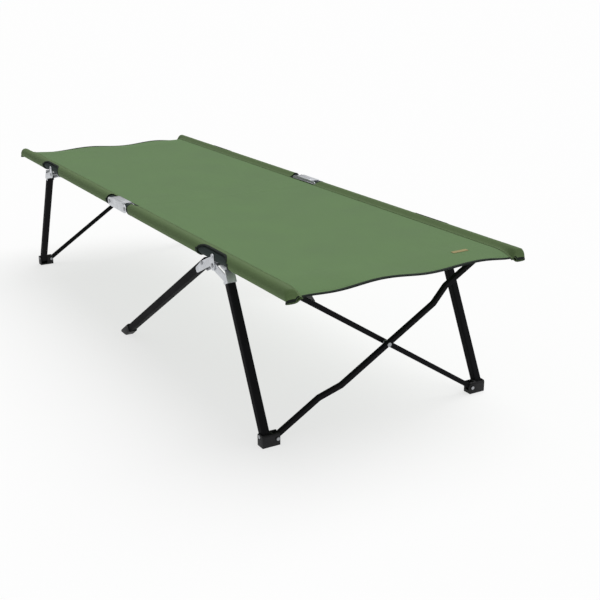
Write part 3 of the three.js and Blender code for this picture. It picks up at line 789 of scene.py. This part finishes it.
def make_hem(part, end):
    """Dark tape folded over the bed's free edge, with one row of stitches beside it."""
    body = BED_BODIES[part][0]
    ys = steps(-BED_HALF, BED_HALF, 0.006)
    width, radius = HEM_TAPE_WIDTH, HEM_TAPE_R
    turns = [math.radians(90 - 180 * i / 8) for i in range(9)]
    rows, uvs = [], []
    for y in ys:
        edge, _ = bed_point(end * BED_END, y)
        centre = edge - Vector((0, 0, CLOTH / 2))
        inward = Vector((-end, 0, 0))
        bend = [(-radius * math.cos(t), radius * math.sin(t)) for t in turns]
        flat = [(width, radius * 0.8), *bend, (width, -radius * 0.8)]
        row = []
        for a, h in flat:
            normal = Vector((-end * a if a < 0 else 0.0, 0, h)).normalized()
            row.append((centre + inward * a + Vector((0, 0, h)), normal))
        rows.append(row)
        uvs.append([(a + k * 0.001, y) for k, (a, h) in enumerate(flat)])
    tape = new_piece(f"hem_tape_{part}", cloth_shell(rows, uvs), "binding")
    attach(tape, body)
    fold_with_bed(tape)
    points, normals = [], []
    for y in ys[1:-1]:
        point, up = bed_point(end * (BED_END - HEM_STITCHES_IN), y)
        points.append(point + up * 0.0001)
        normals.append(up)
    stitches = new_piece(f"hem_stitches_{part}", stitch_line(points, normals), "stitch")
    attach(stitches, body)
    fold_with_bed(stitches)


def make_tag():
    """A plain woven tag sewn on the bed near the foot end's left corner. It carries no lettering."""
    xs = steps(TAG_CENTRE[0] - TAG_HALF[0], TAG_CENTRE[0] + TAG_HALF[0], 0.002)
    ys = steps(TAG_CENTRE[1] - TAG_HALF[1], TAG_CENTRE[1] + TAG_HALF[1], 0.003)
    rows = []
    for x in xs:
        row = []
        for y in ys:
            point, up = bed_point(x, y)
            row.append((point + up * CLOTH, up))
        rows.append(row)
    uvs = [[(x, y) for y in ys] for x in xs]
    tag = new_piece("woven_tag", cloth_shell(rows, uvs), "tag")
    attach(tag, BED_BODIES["foot"][0])
    fold_with_bed(tag)


# ------------------------------------------------------------------------------ CAD nodes
def finish_cad_nodes():
    """Every CAD node that shows gets the look of its slot."""
    for name, node in frame["nodes"].items():
        node.data.materials.clear()
        node.data.materials.append(materials[SLOT_LOOK[SLOT_OF[name]]])


def softened(name, body, look, width):
    """A copy of a CAD node with its sharp edges rounded off, which stands in for the node."""
    node = frame["nodes"][name]
    bm = bmesh.new()
    bm.from_mesh(node.data)
    bmesh.ops.remove_doubles(bm, verts=bm.verts, dist=1e-6)
    flat = math.radians(1.0)
    bmesh.ops.dissolve_limit(bm, angle_limit=flat, verts=bm.verts, edges=bm.edges)
    sharp = [e for e in bm.edges if len(e.link_faces) == 2 and e.calc_face_angle() > math.radians(50)]
    bmesh.ops.bevel(
        bm, geom=sharp, offset=width, segments=2, profile=0.5, affect="EDGES", clamp_overlap=True
    )
    bmesh.ops.triangulate(bm, faces=[f for f in bm.faces if len(f.verts) > 4])
    piece = new_piece(f"{name}_finished", bm, look)
    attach(piece, body)
    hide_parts(name)


def soften_fittings():
    """Moulded and pressed fittings have no knife edges."""
    look_of = {"shoe_": "plastic", "middle_leg_cap": "plastic", "brace_block": "plastic"}
    look_of.update({"leg_saddle": "steel", "leg_bracket": "steel", "middle_bracket": "steel"})
    width_of = {"plastic": 0.0008, "steel": 0.0003}
    for body, names in frame["record"]["behaviour"]["bodies"].items():
        for name in names:
            for start, look in look_of.items():
                if name.startswith(start) and "rivet" not in name:
                    softened(name, body, look, width_of[look])


def make_pin_heads():
    """The outer heads of the pins that hold the legs in their shoes."""
    for side_name, side in SIDES.items():
        for end_name, end in ENDS.items():
            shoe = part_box(f"shoe_{side_name}_{end_name}")
            face = max(abs(corner.y) for corner in shoe)
            head = domed_head(*PIN_HEAD)
            turn = Matrix.Rotation(-side * math.pi / 2, 4, "X")
            place = Matrix.Translation((end * PIN_X, side * face, PIN_Z))
            bmesh.ops.transform(head, matrix=place @ turn, verts=head.verts)
            piece = new_piece(f"leg_pin_head_{side_name}_{end_name}", head, "rivet")
            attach(piece, f"{side_name}_shoe_{end_name}")


def domed_head(radius, height):
    """A rivet head standing on Z = 0."""
    bm = bmesh.new()
    sides = 28
    turns = [2 * math.pi * k / sides for k in range(sides)]
    dome = [(1.0, 0.25), (0.88, 0.66), (0.6, 0.92), (0.2, 1.0)]  # shares of radius and height
    profile = [(radius, -0.0004), *[(radius * r, height * z) for r, z in dome]]
    rings = [[bm.verts.new((r * math.cos(t), r * math.sin(t), z)) for t in turns] for r, z in profile]
    for a, b in zip(rings, rings[1:]):
        for k in range(sides):
            bm.faces.new((a[k], a[(k + 1) % sides], b[(k + 1) % sides], b[k]))
    bm.faces.new(rings[0][::-1])
    bm.faces.new(rings[-1])
    return bm


# ------------------------------------------------------------------------------ stage
def make_stage():
    """A pale floor under an even sky and one wide, soft overhead light."""
    mesh = bpy.data.meshes.new("floor")
    corners = [(FLOOR_HALF * x, FLOOR_HALF * y, 0) for x, y in ((-1, -1), (1, -1), (1, 1), (-1, 1))]
    mesh.from_pydata(corners, [], [(0, 1, 2, 3)])
    floor = bpy.data.objects.new("floor", mesh)
    bpy.context.scene.collection.objects.link(floor)
    made, _, shader = new_material("pale_floor", Roughness=0.9, Specular_IOR_Level=0.0)
    shader.inputs["Base Color"].default_value = FLOOR_COLOUR
    shader.inputs["Emission Color"].default_value = WHITE
    shader.inputs["Emission Strength"].default_value = FLOOR_GLOW
    mesh.materials.append(made)
    world = bpy.data.worlds.new("studio")
    world.use_nodes = True
    world.node_tree.nodes["Background"].inputs["Color"].default_value = WHITE
    world.node_tree.nodes["Background"].inputs["Strength"].default_value = SKY_STRENGTH
    bpy.context.scene.world = world
    data = bpy.data.lights.new("overhead_softbox", "SUN")
    data.energy = SOFTBOX_STRENGTH
    data.angle = SOFTBOX_SPREAD
    lamp = bpy.data.objects.new("overhead_softbox", data)
    lamp.rotation_euler = Vector(SOFTBOX_FROM).to_track_quat("Z", "Y").to_euler()
    bpy.context.scene.collection.objects.link(lamp)


def make_camera():
    """The photograph's angle, with the cot in the middle of the frame."""
    azimuth, elevation, roll = (math.radians(a) for a in CAMERA_ANGLES)
    level = math.cos(elevation)
    back = Vector((math.sin(azimuth) * level, -math.cos(azimuth) * level, math.sin(elevation)))
    data = bpy.data.cameras.new("camera")
    data.sensor_width = 36
    data.lens = CAMERA_LENS
    camera = bpy.data.objects.new("camera", data)
    camera.location = CAMERA_AT
    turned = back.to_track_quat("Z", "Y").to_matrix() @ Matrix.Rotation(roll, 3, "Z")
    camera.rotation_euler = turned.to_euler()
    bpy.context.scene.collection.objects.link(camera)
    bpy.context.scene.camera = camera
    bpy.context.scene.view_settings.view_transform = "Standard"


# ------------------------------------------------------------------------------ the whole cot
make_camera()
make_stage()
finish_cad_nodes()
for side_name in SIDES:
    for end_name in ENDS:
        make_sleeve(side_name, end_name)
        make_seam_stitches(side_name, end_name)
    make_hinge_strip(side_name)
make_bed()
make_hem("foot", 1)
make_hem("head", -1)
make_tag()
make_pin_heads()
soften_fittings()
